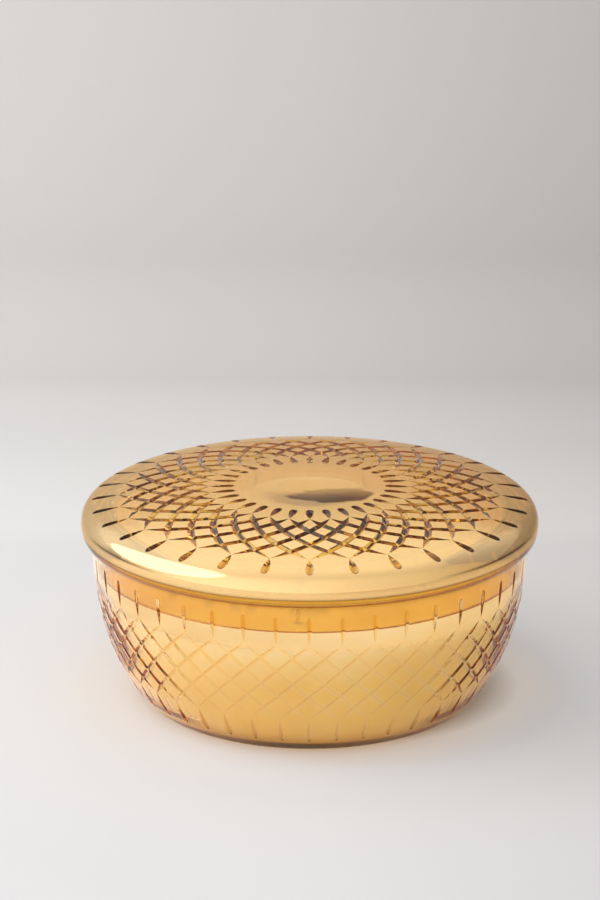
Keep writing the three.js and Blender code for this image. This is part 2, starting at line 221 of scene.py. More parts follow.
# It can't be seen from behind, and its upper edge gives way softly to the room above.
behind = add("ShaderNodeBsdfTransparent")
upper_edge = ranged(add, along.outputs["Z"], 0.31, 0.45, interpolation_type="SMOOTHSTEP")
gone = worked_out(add, "MAXIMUM", add("ShaderNodeNewGeometry").outputs["Backfacing"], upper_edge)
sides = add("ShaderNodeMixShader", {"Fac": gone})
link(front.outputs["BSDF"], sides.inputs[1])
link(behind.outputs["BSDF"], sides.inputs[2])
link(sides.outputs["Shader"], output.inputs["Surface"])
sweep.data.materials.append(paper)


# The light is one large round soft lamp up on the left, whose shine lies on the lid's left shoulder,
# and the pale room, which is brighter on the left and towards the front and back.

bpy.ops.object.light_add(type="AREA", location=(-0.928, -0.007, 0.759))
key = bpy.context.object
key.name = "round_lamp_left"
key.data.shape = "DISK"
key.data.size = 1.25
key.data.energy = 5.8
mouth_middle = Vector((0.0, 0.0, 0.08))
key.rotation_euler = (mouth_middle - key.location).to_track_quat("-Z", "Y").to_euler()

world = bpy.data.worlds.new("pale_room")
bpy.context.scene.world = world
world.use_nodes = True
room = world.node_tree
room_shader = room.nodes["Background"]
direction = room.nodes.new("ShaderNodeTexCoord")
place_in_room = room.nodes.new("ShaderNodeSeparateXYZ")
room.links.new(direction.outputs["Generated"], place_in_room.inputs["Vector"])
room_tones = []
for axis, stops in (
    ("X", [(0.0, 1.35), (0.3, 1.18), (0.5, 1.0), (0.7, 0.83), (1.0, 0.62)]),
    ("Y", [(0.0, 1.32), (0.25, 1.22), (0.5, 0.94), (0.7, 1.05), (0.85, 1.18), (1.0, 1.18)]),
):
    room_share = room.nodes.new("ShaderNodeMapRange")
    room_share.inputs["From Min"].default_value = -1.0
    room_tone = room.nodes.new("ShaderNodeValToRGB")
    set_ramp(room_tone, [(share, (level, level, level)) for share, level in stops])
    room.links.new(place_in_room.outputs[axis], room_share.inputs["Value"])
    room.links.new(room_share.outputs["Result"], room_tone.inputs["Fac"])
    room_tones.append(room_tone.outputs["Color"])
room_light = room.nodes.new("ShaderNodeMix")
room_light.data_type = "RGBA"
room_light.blend_type = "MULTIPLY"
room_light.inputs["Factor"].default_value = 1.0
room.links.new(room_tones[0], room_light.inputs["A"])
room.links.new(room_tones[1], room_light.inputs["B"])
room.links.new(room_light.outputs["Result"], room_shader.inputs["Color"])
room_shader.inputs["Strength"].default_value = 1.0

# Light that is caught between the two faces of the glass is followed until it finds its way out.
bounces = bpy.context.scene.cycles
bounces.max_bounces = 32
bounces.glossy_bounces = 24
bounces.transmission_bounces = 32
bounces.transparent_max_bounces = 32


# The bowl: one piece of amber glass, pressed in a mould, with a flat foot ring and a straight mouth
# that takes the lid's collar. The leaves and the crossing cuts are ground into it with a wheel.

bowl_height = 0.0797
mouth_radius = 0.1057
base_radius = 0.0812
rim_wall = 0.004
rim_round = 0.0012
floor_thickness = 0.005
floor_radius = base_radius - 0.0052
straight_mouth = 0.0137
foot_ring_width = 0.008
foot_hollow = 0.0008
heel_round = 0.0010
heel_reach = heel_round * 1.2
bowl_groove_depth = 0.0006
bore_radius = mouth_radius - rim_wall
bore_bottom = bowl_height - straight_mouth
# The walls' curves: where their two middle controls lie, as shares of the reach and rise.
inner_wall_curve = ((0.41, 0.025), (0.92, 0.6))
outer_wall_curve = ((0.624, 0.197), (0.947, 0.527))


def bezier(controls, steps):
    """Points along a curve with three or four control points, as radius and height."""
    share = np.linspace(0.0, 1.0, steps + 1)[:, None]
    points = [np.array(control, float)[None, :] for control in controls]
    while len(points) > 1:
        points = [a * (1 - share) + b * share for a, b in zip(points, points[1:])]
    return points[0]


def share_curve(start, end, shares):
    """The curve between two ends, with its two controls as shares of the reach and rise."""
    start, end = np.array(start), np.array(end)
    return bezier([start, *(start + (end - start) * share for share in shares), end], 400)


def line(start, end):
    """A straight run between two ends."""
    return np.array([start, end], float)


class Outline:
    """A piece's outline from the axis round to the axis again, by the distance along it."""

    def __init__(self):
        self.places = []
        self.distance = []
        self.stations = []

    def follow(self, points, steps):
        """Adds a run of points and the stations that the piece gets along it."""
        start = self.distance[-1] if self.distance else 0.0
        reach = np.concatenate([[0.0], np.cumsum(np.linalg.norm(np.diff(points, axis=0), axis=1))])
        self.places += list(points)
        self.distance += list(start + reach)
        ends = (start, start + reach[-1])
        self.stations += list(np.linspace(*ends, steps, endpoint=False))
        return ends

    def place(self, distance):
        """Radius and height at one distance or at many."""
        return np.array([np.interp(distance, self.distance, run) for run in np.array(self.places).T])

    def out(self, distance):
        """The direction out of the glass, square to the outline."""
        along = self.place(distance + 1e-5) - self.place(distance - 1e-5)
        return np.array([-along[1], along[0]]) / np.linalg.norm(along, axis=0)


def values_of(glass, name):
    """The values that a piece's corners have under a name."""
    values = np.zeros(len(glass.data.vertices), np.float32)
    glass.data.attributes[name].data.foreach_get("value", values)
    return values


def set_values(glass, name, values):
    """Gives a piece's corners their values under a name."""
    named = glass.data.attributes.get(name) or glass.data.attributes.new(name, "FLOAT", "POINT")
    named.data.foreach_set("value", np.asarray(values, np.float32))


def corner_places(glass):
    """Where a piece's corners are: all their x, all their y and all their z."""
    return np.array([vertex.co for vertex in glass.data.vertices]).T


def select_only(piece):
    """Selects one piece, and makes it the one that the next step works on."""
    bpy.ops.object.select_all(action="DESELECT")
    piece.select_set(True)
    bpy.context.view_layer.objects.active = piece


def cut_glass(name, outline, cut_start, cut_length, cuts):
    """A whole cut piece: half of one leaf's wedge is cut flat, bent to the outline and repeated."""
    around = cuts["around"]
    step = 2 * math.pi / around
    blunt_first, tip_first, tip_last, blunt_last = (
        cut_start + share * cut_length for share in cuts["shares"]
    )
    half_rows = cuts["half_rows"]
    rows = list(np.linspace(tip_first, tip_last, half_rows + 1))
    row_gap = rows[1] - rows[0]

    def half_width(distance, width):
        """A leaf's half width as a share of the step from leaf to leaf."""
        return width / (outline.place(distance)[0] * step)

    def slanted_half_width(distance):
        """A crossing cut's half width, measured along its row, as a share of the step."""
        return cuts["half_width"] * math.hypot(1 / (outline.place(distance)[0] * step), 0.5 / row_gap)

    def leaf_places(blunt, tip):
        """A leaf cut's places along the outline, with its half width and depth at each."""
        places = []
        for share, wide, deep in cuts["leaf_shape"]:
            distance = blunt + (tip - blunt) * share
            width = half_width(distance, cuts["leaf_half_width"]) * wide
            places.append((distance, width, cuts["leaf_depth"] * deep))
        return places

    leaves = [leaf_places(blunt_first, tip_first), leaf_places(blunt_last, tip_last)]
    outside_cuts = [x for x in outline.stations if x < blunt_first - 1e-4 or x > blunt_last + 1e-4]
    leaf_stations = [place[0] for leaf in leaves for place in leaf[:-1]]
    stations = sorted(outside_cuts + rows + leaf_stations + [outline.distance[-1]])

    # The flat half wedge: as long as the outline, and as wide as half the step from leaf to leaf.
    pitch = outline.place(rows[half_rows // 2])[0] * step
    bpy.ops.object.select_all(action="DESELECT")
    bpy.ops.mesh.primitive_grid_add(x_subdivisions=len(stations) - 1, y_subdivisions=2, size=2.0)
    glass = bpy.context.object
    glass.name = glass.data.name = name
    for vertex in glass.data.vertices:
        column = round((vertex.co.x + 1) / 2 * (len(stations) - 1))
        vertex.co = (stations[column], (vertex.co.y + 1) / 4 * pitch, 0.0)

    def cut_line(low, high, first, second):
        """Cuts the wedge between two distances along the line through two places."""
        bpy.ops.mesh.select_all(action="DESELECT")
        edit = bmesh.from_edit_mesh(glass.data)
        for face in edit.faces:
            if low < face.calc_center_median().x < high:
                face.select_set(True)
        bmesh.update_edit_mesh(glass.data)
        way = Vector((second[0] - first[0], (second[1] - first[1]) * pitch, 0.0)).normalized()
        bpy.ops.mesh.bisect(
            plane_co=(first[0], first[1] * pitch, 0.0),
            plane_no=(-way.y, way.x, 0.0),
            threshold=2e-6,
        )

    bpy.ops.object.mode_set(mode="EDIT")
    for row, (low, high) in enumerate(zip(rows, rows[1:])):
        near = 0.0 if row == 0 else slanted_half_width(low)
        far = 0.0 if row == half_rows - 1 else slanted_half_width(high)
        near_run, far_run = near * 2 * row_gap, far * 2 * row_gap
        # In even half rows the cut runs from the leaf's line out to the gap's, in odd ones back.
        here, there, inwards = (0.0, 0.5, 1) if row % 2 == 0 else (0.5, 0.0, -1)
        cut_line(low, high, (low, here), (high, there))
        cut_line(low, high, (low, here + inwards * near), (high - far_run, there))
        cut_line(low, high, (low + near_run, here), (high, there - inwards * far))
    for leaf in leaves:
        for (x, wide, _), (next_x, next_wide, _) in zip(leaf, leaf[1:]):
            cut_line(min(x, next_x), max(x, next_x), (x, wide), (next_x, next_wide))
    bpy.ops.object.mode_set(mode="OBJECT")

    def depth_at(x, share):
        """How deep the wheel goes at a corner: along the middle line of each cut, and nowhere else."""
        if rows[0] - 1e-7 < x < rows[-1] + 1e-7:
            row = min(max(int((x - rows[0]) / row_gap), 0), half_rows - 1)
            across = (x - rows[row]) / row_gap / 2
            middle = across if row % 2 == 0 else 0.5 - across
            taper = min(1.0, (x - rows[0]) / row_gap, (rows[-1] - x) / row_gap)
            return cuts["depth"] * max(taper, 0.0) if abs(share - middle) < 2e-3 else 0.0
        for leaf in leaves:
            run = sorted((place[0], place[2]) for place in leaf)
            if run[0][0] < x < run[-1][0] and share < 1e-4:
                return float(np.interp(x, [place[0] for place in run], [place[1] for place in run]))
        return 0.0

    flat_places = np.array([vertex.co[:2] for vertex in glass.data.vertices])
    along, share = flat_places[:, 0], flat_places[:, 1] / pitch
    depth = np.array([depth_at(*corner) for corner in zip(along, share)])
    depth[depth < 1e-6] = 0.0
    radius, height = outline.place(along) - outline.out(along) * depth * (depth > 0)
    corners = zip(glass.data.vertices, np.maximum(radius, 0.0), height, share * step)
    for vertex, reach, rise, angle in corners:
        vertex.co = (reach * math.sin(angle), -reach * math.cos(angle), rise)
    set_values(glass, "along", along)
    set_values(glass, "cut", depth)

    mirror = glass.modifiers.new("other half of the leaf", "MIRROR")
    mirror.merge_threshold = 2e-6
    bpy.ops.object.modifier_apply(modifier=mirror.name)
    bpy.ops.object.mode_set(mode="EDIT")
    bpy.ops.mesh.select_all(action="SELECT")
    bpy.ops.mesh.spin(
        steps=around - 1,
        dupli=True,
        angle=step * (around - 1),
        center=(0.0, 0.0, 0.0),
        axis=(0.0, 0.0, 1.0),
    )
    bpy.ops.mesh.select_all(action="SELECT")
    bpy.ops.mesh.remove_doubles(threshold=3e-6)
    bpy.ops.mesh.normals_make_consistent(inside=False)
    bpy.ops.object.mode_set(mode="OBJECT")
    return glass


def polish(glass, outline, smooth_from, smooth_to, lustre_from, lustre_to):
    """Crisp edges on the cuts, and the pressed shape's own smooth curve on the glass between them."""
    select_only(glass)
    bpy.ops.object.shade_smooth_by_angle(angle=math.radians(24.0))
    mesh = glass.data
    along = values_of(glass, "along")
    depth = values_of(glass, "cut")
    normals = np.zeros(len(mesh.loops) * 3, np.float32)
    mesh.corner_normals.foreach_get("vector", normals)
    normals = normals.reshape(-1, 3)
    x, y = corner_places(glass)[:2]
    radius = np.maximum(np.hypot(x, y), 1e-9)
    outwards, upwards = outline.out(along)
    pressed = np.stack([outwards * x / radius, outwards * y / radius, upwards], axis=1)
    uncut = (depth == 0) & (along >= smooth_from) & (along <= smooth_to)
    # The lustre lies on the pressed outside, and the wheel has cut through it.
    lustred = (depth == 0) & (along >= lustre_from - 1e-6) & (along <= lustre_to + 1e-6)
    lustre = mesh.attributes.new("lustre", "FLOAT", "FACE").data
    # How far the side of a cut is turned from the lamp, to the right and down, up to a steep flank's:
    # these flanks get painted shade.
    shade_turned_away = mesh.attributes.new("shade_turned_away", "FLOAT", "FACE").data
    steep_flank = 0.6
    for face in mesh.polygons:
        corners = list(face.vertices)
        if uncut[corners].all():
            normals[list(face.loop_indices)] = pressed[corners]
        lustre[face.index].value = float(lustred[corners].all())
        if (depth[corners] > 0).any():
            outward = Vector(pressed[corners].mean(axis=0))
            right = Vector((-face.center.y, face.center.x, 0.0)).normalized()
            down = right.cross(outward).normalized()
            turn = face.normal.dot(right + down) / steep_flank
            shade_turned_away[face.index].value = max(0.0, min(1.0, turn))
    mesh.normals_split_custom_set(normals.tolist())


bowl_outline = Outline()
bowl_outline.follow(line((0.0, floor_thickness), (floor_radius, floor_thickness)), 4)
inner_wall = share_curve(
    (floor_radius, floor_thickness), (bore_radius, bore_bottom), inner_wall_curve,
)
bowl_outline.follow(inner_wall, 18)
bowl_outline.follow(line((bore_radius, bore_bottom), (bore_radius, bowl_height - rim_round)), 2)
bowl_outline.follow(bezier([
    (bore_radius, bowl_height - rim_round),
    (bore_radius, bowl_height),
    (bore_radius + rim_round, bowl_height),
], 20), 4)
bowl_outline.follow(line(
    (bore_radius + rim_round, bowl_height), (mouth_radius - rim_round, bowl_height),
), 1)
bowl_outline.follow(bezier([
    (mouth_radius - rim_round, bowl_height),
    (mouth_radius, bowl_height),
    (mouth_radius, bowl_height - rim_round),
], 20), 4)
outer_wall = share_curve(
    (base_radius, 0.0), (mouth_radius, bowl_height - rim_round), outer_wall_curve,
)[::-1]
wall_start, wall_end = bowl_outline.follow(outer_wall, 26)
wall_length = wall_end - wall_start
# The painted dark line at the mouth fades out within this ring of corners.
bowl_outline.stations.append(wall_start + 0.0011)
# The heel is rounded off the end of the wall.
heel_start = bowl_outline.place(wall_end - heel_reach)
while bowl_outline.distance[-1] > wall_end - heel_reach:
    bowl_outline.distance.pop()
    bowl_outline.places.pop()
bowl_outline.stations = [x for x in bowl_outline.stations if x < bowl_outline.distance[-1] - 1e-4]
bowl_outline.follow(bezier([heel_start, (base_radius, 0.0), (base_radius - heel_round, 0.0)], 20), 4)
foot_inner = base_radius - foot_ring_width
bowl_outline.follow(line((base_radius - heel_round, 0.0), (foot_inner, 0.0)), 2)
bowl_outline.follow(line((foot_inner, 0.0), (foot_inner - foot_hollow, foot_hollow)), 1)
bowl_outline.follow(line((foot_inner - foot_hollow, foot_hollow), (0.0, foot_hollow)), 4)

# A leaf cut from its blunt end to its tip: the share of its length, width and depth.
leaf_shape = [
    (0.0, 0.0, 0.0),
    (0.03, 0.50, 0.35),
    (0.09, 0.80, 0.7),
    (0.18, 0.97, 0.95),
    (0.32, 1.0, 1.0),
    (0.55, 0.86, 0.95),
    (0.80, 0.48, 0.6),
    (1.0, 0.0, 0.0),
]
# Down the wall the upper leaf runs from the first share to the second, and the lower one back from
# the last to the third, with the crossing cuts between them.
bowl_cut_shares = (0.049, 0.215, 0.711, 0.897)
smooth_wall_share = 0.93
bowl = cut_glass("cut_glass_bowl", bowl_outline, wall_start, wall_length, {
    "around": 44,
    "half_rows": 6,
    "shares": bowl_cut_shares,
    "depth": bowl_groove_depth,
    "half_width": 0.0012,
    "leaf_depth": 0.0008,
    "leaf_half_width": 0.00125,
    "leaf_shape": leaf_shape,
})
smooth_wall_end = wall_start + wall_length * smooth_wall_share
polish(bowl, bowl_outline, wall_start, smooth_wall_end, wall_start, bowl_outline.distance[-1])


def paint_dark_ring(glass, distance, deepest):
    """Painted shade: a fine dark line round the glass, at the ring of corners nearest a distance."""
    along = values_of(glass, "along")
    nearest = along[np.argmin(abs(along - distance))]
    set_values(glass, "cut", np.where(abs(along - nearest) < 1e-5, deepest, values_of(glass, "cut")))


def side_turns(glass):
    """How far each corner is turned to the right of the front or back, in degrees."""
    x, y = corner_places(glass)[:2]
    return np.degrees(np.arcsin(np.clip(x / np.maximum(np.hypot(x, y), 1e-6), -1.0, 1.0)))


def paint_shade_lines(glass, lines):
    """Painted dark lines of shade round the glass: the height, half width, least radius, and strength by
    the turn.
    """
    turns = side_turns(glass)
    x, y, z = corner_places(glass)
    marks = np.zeros(len(turns))
    for height, half_width, least_radius, angles, strengths in lines:
        near = np.exp(-((z - height) / half_width) ** 2) * (np.hypot(x, y) > least_radius)
        marks = np.maximum(marks, near * np.interp(turns, angles, strengths))
    set_values(glass, "painted_shade_lines", marks)


# Painted shade: fine dark lines round the bowl's mouth, where the lid sits on it, and round its foot.
paint_dark_ring(bowl, wall_start, bowl_groove_depth)
paint_shade_lines(bowl, [
    (bowl_height, 0.0016, mouth_radius - 0.002, [-60, -20, 20, 50], [0.75, 0.4, 0.45, 1.0]),
    (0.0, 0.0012, base_radius - 0.002, [-60, 60], [0.8, 0.9]),
])

# At the front and back the wax sticks to the glass, so that light passes from one to the other unbent
# and the cuts before it look paler. At the sides it has shrunk away from the glass.
wax_top = bowl_height - 0.0242
wax_edge_rise = 0.0008
stuck_turns = [34.0, 46.0]
bowl_along = values_of(bowl, "along")
# The inner wall's points come after the floor's two.
wall_distances = bowl_outline.distance[2:2 + len(inner_wall)]
poured_to = float(np.interp(wax_top + wax_edge_rise, inner_wall[:, 1], wall_distances))
wetted = bowl.data.attributes.new("wetted", "FLOAT", "FACE").data
for face in bowl.data.polygons:
    turn = math.degrees(math.asin(min(1.0, abs(face.center.x) / max(face.center.xy.length, 1e-6))))
    if bowl_along[list(face.vertices)].max() < poured_to + 0.001:
        wetted[face.index].value = float(np.interp(turn, stuck_turns, [1.0, 0.0]))
# The cuts' painted shade is lighter at the front and back, where the wax sticks.
paler = np.interp(abs(side_turns(bowl)), stuck_turns, [0.62, 1.0])
set_values(bowl, "cut", values_of(bowl, "cut") * paler)


def coat_colour_and_light(add, place, deep, pale, deep_height, pale_height):
    """The golden coat's colour, which is paler higher up and a little uneven, with painted light making it
    paler to the left, towards the lamp.
    """
    # Painted light: the coat is paler towards the lamp on the left.
    painted_light_to_left = -5.5
    corner = add("ShaderNodeSeparateXYZ", {"Vector": place})
    rise = ranged(add, corner.outputs["Z"], deep_height, pale_height)
    melt = add("ShaderNodeTexNoise", {"Vector": place, "Scale": 26.0, "Detail": 2.0})
    patchy = worked_out(add, "ADD", rise, ranged(add, melt.outputs["Fac"], 0.3, 0.7, -0.15, 0.15))
    share = worked_out(add, "MULTIPLY_ADD", corner.outputs["X"], painted_light_to_left, patchy)
    coat = add("ShaderNodeValToRGB", {"Fac": share})
    set_ramp(coat, [(0.0, deep), (1.0, pale)])
    return coat.outputs["Color"]


def cut_colour_and_shade(add, bare, groove_shade, groove_depth, flank_shade_share):
    """The cuts' bare colour, with painted shade deeper at their bottoms and on the flanks turned from the
    lamp.
    """
    ground = add("ShaderNodeAttribute", attribute_name="cut").outputs["Fac"]
    ground_share = ranged(add, ground, groove_depth * 0.35, groove_depth)
    away = add("ShaderNodeAttribute", attribute_name="shade_turned_away").outputs["Fac"]
    away_share = worked_out(add, "MULTIPLY", away, flank_shade_share)
    cut = add("ShaderNodeValToRGB", {"Fac": worked_out(add, "MAXIMUM", ground_share, away_share)})
    set_ramp(cut, [(0.0, bare), (1.0, groove_shade)])
    return cut.outputs["Color"]


def painted_shade_share(add, place, lustre, streak_share):
    """How much painted shade darkens the glass: along its fine lines, and in a streak in the lid's lustre.
    """
    # The streak is a painted dark patch with a wavering edge, darkest at its near side.
    streak_place = add(
        "ShaderNodeMapping",
        {"Vector": place, "Location": (-0.58, 1.26, 0.0), "Scale": (52.0, 94.0, 0.0)},
    ).outputs["Vector"]
    drift = add("ShaderNodeTexNoise", {"Vector": streak_place, "Scale": 1.3, "Detail": 2.0})
    from_streak = add("ShaderNodeVectorMath", {0: streak_place}, operation="LENGTH").outputs["Value"]
    edge = worked_out(add, "ADD", drift.outputs["Fac"], from_streak)
    patch = ranged(add, edge, 1.45, 1.66, streak_share, 0.0, interpolation_type="SMOOTHSTEP")
    depth_back = add("ShaderNodeSeparateXYZ", {"Vector": streak_place}).outputs["Y"]
    thinned = ranged(add, depth_back, -0.4, 0.9, 1.0, 0.55)
    streak = worked_out(add, "MULTIPLY", worked_out(add, "MULTIPLY", patch, thinned), lustre)
    fine_lines = add("ShaderNodeAttribute", attribute_name="painted_shade_lines").outputs["Fac"]
    return worked_out(add, "MAXIMUM", streak, fine_lines)


def amber_glass(
    name, coat, cuts, lustre_share, lustre_haze, unbent_tint, body_colour, body_density, streak_share=0.0,
):
    """Amber glass with a golden lustre on its uncut outside. It is a little wavy and lightly handled."""
    material, output, link, add = new_material(name)
    place = add("ShaderNodeTexCoord").outputs["Object"]
    lustre = add("ShaderNodeAttribute", attribute_name="lustre").outputs["Fac"]
    clear = mixed(add, lustre, cut_colour_and_shade(add, **cuts), coat_colour_and_light(add, place, **coat))
    painted_shade = painted_shade_share(add, place, lustre, streak_share)
    # Painted shade darkens the glass towards a deep purple-brown along the painted lines and in the
    # streak.
    tint = mixed(add, painted_shade, clear, (0.055, 0.02, 0.04, 1.0), blend_type="MULTIPLY")
    handling = add("ShaderNodeTexNoise", {"Vector": place, "Scale": 60.0, "Detail": 4.0})
    smear = ranged(add, handling.outputs["Fac"], 0.45, 0.75, 0.0, 0.03)
    waves = add("ShaderNodeTexNoise", {"Vector": place, "Scale": 38.0, "Detail": 1.0})
    relief = add(
        "ShaderNodeBump", {"Height": waves.outputs["Fac"], "Strength": 0.12, "Distance": 0.0006},
    )
    glass = add("ShaderNodeBsdfPrincipled", {
        "Base Color": tint,
        "Metallic": worked_out(add, "MULTIPLY", lustre, lustre_share),
        "Transmission Weight": 1.0,
        "IOR": 1.5,
        "Specular IOR Level": 0.35,
        "Specular Tint": (0.8, 0.60, 0.34, 1.0),
        "Roughness": worked_out(add, "MULTIPLY_ADD", lustre, lustre_haze, smear),
        "Normal": relief.outputs["Normal"],
    })
    # Light passes straight through on its way to the wax, as it would but for the bending, and through
    # the glass that the wax sticks to.
    straight = add("ShaderNodeBsdfTransparent", {"Color": (*unbent_tint, 1.0)})
    path = add("ShaderNodeLightPath")
    lighting = worked_out(add, "MAXIMUM", path.outputs["Is Shadow Ray"], path.outputs["Is Diffuse Ray"])
    wetted = add("ShaderNodeAttribute", attribute_name="wetted").outputs["Fac"]
    whole = add("ShaderNodeMixShader", {"Fac": worked_out(add, "MAXIMUM", lighting, wetted)})
    link(glass.outputs["BSDF"], whole.inputs[1])
    link(straight.outputs["BSDF"], whole.inputs[2])
    link(whole.outputs["Shader"], output.inputs["Surface"])
    amber = add("ShaderNodeVolumeAbsorption", {"Color": (*body_colour, 1.0), "Density": body_density})
    link(amber.outputs["Volume"], output.inputs["Volume"])
    return material


bowl.data.materials.append(amber_glass(
    "amber_bowl_glass",
    coat={
        "deep": (0.99, 0.78, 0.34),
        "pale": (1.0, 0.96, 1.0),
        "deep_height": 0.038,
        "pale_height": 0.060,
    },
    cuts={
        "bare": (1.0, 0.85, 0.62),
        "groove_shade": (0.80, 0.52, 0.18),
        "groove_depth": bowl_groove_depth,
        "flank_shade_share": 0.8,
    },
    lustre_share=0.02,
    lustre_haze=0.0,
    unbent_tint=(0.99, 0.93, 0.80),
    body_colour=(0.88, 0.61, 0.0),
    body_density=57.0,
))
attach(bowl, "bowl")
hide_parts("glass_bowl")


# Five foam stickers hold the wicks to the bowl's floor while the wax is poured. Each is a round pad of
# white foam with glue on both faces.

wick_ring_radius = floor_radius - 0.0175
wick_angles = [math.radians(-5.7 + 72.0 * wick) for wick in range(5)]
sticker_radius = 0.009
sticker_thickness = 0.001
sticker_bottom = floor_thickness + 0.0003


def set_round_the_ring(first, name, node, material):
    """Copies a piece that stands in front of the middle to every wick's place."""
    first.data.materials.append(material)
    for number, angle in enumerate(wick_angles, start=1):
        select_only(first)
        if number < len(wick_angles):
            bpy.ops.object.duplicate(linked=False)
        piece = bpy.context.object
        piece.name = piece.data.name = f"{name}_{number}"
        piece.rotation_euler = (0.0, 0.0, angle)
        bpy.ops.object.transform_apply(location=True, rotation=True, scale=True)
        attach(piece, "bowl")
        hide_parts(f"{node}_{number}")


bpy.ops.object.select_all(action="DESELECT")
bpy.ops.mesh.primitive_cylinder_add(
    vertices=48, radius=sticker_radius, depth=sticker_thickness,
    location=(0.0, -wick_ring_radius, sticker_bottom + sticker_thickness / 2),
)
sticker = bpy.context.object
bpy.ops.object.transform_apply(location=True)
bpy.ops.object.mode_set(mode="EDIT")
bpy.ops.mesh.select_all(action="DESELECT")
edit = bmesh.from_edit_mesh(sticker.data)
for edge in edit.edges:
    edge.select_set(abs(edge.verts[0].co.z - edge.verts[1].co.z) < 1e-6)
bmesh.update_edit_mesh(sticker.data)
bpy.ops.mesh.bevel(offset=0.00018, segments=3)
bpy.ops.object.mode_set(mode="OBJECT")
bpy.ops.object.shade_smooth_by_angle(angle=math.radians(40.0))

foam, output, link, add = new_material("white_foam_pad")
place = add("ShaderNodeTexCoord").outputs["Object"]
cells = add("ShaderNodeTexVoronoi", {"Vector": place, "Scale": 3200.0})
cell_tone = add("ShaderNodeValToRGB", {"Fac": cells.outputs["Distance"]})
set_ramp(cell_tone, [(0.0, (0.80, 0.79, 0.75)), (0.6, (0.90, 0.89, 0.86))])
cell_relief = add(
    "ShaderNodeBump", {"Height": cells.outputs["Distance"], "Strength": 0.4, "Distance": 0.0001},
)
surface = add("ShaderNodeBsdfPrincipled", {
    "Base Color": cell_tone.outputs["Color"], "Roughness": 0.85, "Normal": cell_relief.outputs["Normal"],
})
link(surface.outputs["BSDF"], output.inputs["Surface"])
set_round_the_ring(sticker, "wick_pad", "wick_sticker", foam)


# Each wick is crimped into a tab: a round plate of tinned steel, stamped with a stiffening ring and
# with a short neck drawn up in its middle. The tab is stuck down on its pad.

tab_radius = 0.010
tab_metal = 0.0003
tab_bottom = sticker_bottom + sticker_thickness + 0.0003
tab_rib = 0.0002
neck_bore = 0.0015
neck_wall = 0.0005
neck_outside = neck_bore + neck_wall
neck_height = 0.005

bpy.ops.object.select_all(action="DESELECT")
bpy.ops.mesh.primitive_circle_add(
    vertices=48, radius=tab_radius, fill_type="NGON", location=(0.0, -wick_ring_radius, tab_bottom),
)
tab = bpy.context.object
bpy.ops.object.transform_apply(location=True)
bpy.ops.object.mode_set(mode="EDIT")
bpy.ops.mesh.select_all(action="SELECT")
bpy.ops.mesh.extrude_region_move(TRANSFORM_OT_translate={"value": (0.0, 0.0, tab_metal)})
tab_middle = (0.0, -wick_ring_radius, tab_bottom)
# Each step goes in to the next radius, and then up or down by the rise.
reached = tab_radius
for next_reach, rise in (
    (0.0075, 0.0), (0.0070, tab_rib), (0.0062, 0.0), (0.0057, -tab_rib),
    (neck_outside + 0.0006, 0.0), (neck_outside + 0.0002, 0.0003),
    (neck_outside, 0.0005), (neck_outside, neck_height - tab_metal - 0.0008),
    (neck_bore, 0.0), (neck_bore, tab_metal - neck_height),
):
    bpy.ops.mesh.extrude_region_move(TRANSFORM_OT_translate={"value": (0.0, 0.0, rise)})
    bpy.ops.transform.resize(
        value=(next_reach / reached, next_reach / reached, 1.0), center_override=tab_middle,
    )
    reached = next_reach
# The neck is crimped flat on the wick with pliers.
bpy.ops.mesh.select_all(action="DESELECT")
edit = bmesh.from_edit_mesh(tab.data)
for vertex in edit.verts:
    vertex.select_set(vertex.co.z > tab_bottom + 0.0014)
edit.select_flush(True)
bmesh.update_edit_mesh(tab.data)
bpy.ops.transform.resize(value=(1.12, 0.76, 1.0), center_override=tab_middle)
bpy.ops.mesh.select_all(action="SELECT")
bpy.ops.mesh.normals_make_consistent(inside=False)
bpy.ops.object.mode_set(mode="OBJECT")
bpy.ops.object.shade_smooth_by_angle(angle=math.radians(35.0))

tin, output, link, add = new_material("tinned_wick_tab")
place = add("ShaderNodeTexCoord").outputs["Object"]
stretched = add("ShaderNodeMapping", {"Vector": place, "Scale": (1.0, 12.0, 1.0)})
rolling = add("ShaderNodeTexNoise", {"Vector": stretched.outputs["Vector"], "Scale": 320.0, "Detail": 3.0})
tin_tone = add("ShaderNodeValToRGB", {"Fac": rolling.outputs["Fac"]})
set_ramp(tin_tone, [(0.3, (0.66, 0.66, 0.67)), (0.7, (0.78, 0.78, 0.79))])
surface = add("ShaderNodeBsdfPrincipled", {
    "Base Color": tin_tone.outputs["Color"],
    "Metallic": 1.0,
    "Roughness": ranged(add, rolling.outputs["Fac"], 0.3, 0.7, 0.22, 0.36),
})
link(surface.outputs["BSDF"], output.inputs["Surface"])
set_round_the_ring(tab, "wick_tab_plate", "wick_tab", tin)


# The wicks are flat braids of three cotton strands, dipped in wax and trimmed by hand. They run from
# their tabs up through the candle and stand 8 mm out of it.

wick_stands_out = 0.008
strand_radius = 0.00046
braid_half_width = 0.00078
braid_half_thickness = 0.00036
braid_pitch = 0.0062
wick_lean = 0.0007
wick_start = tab_bottom + 0.0005
wick_length = wax_top + wick_stands_out - wick_start

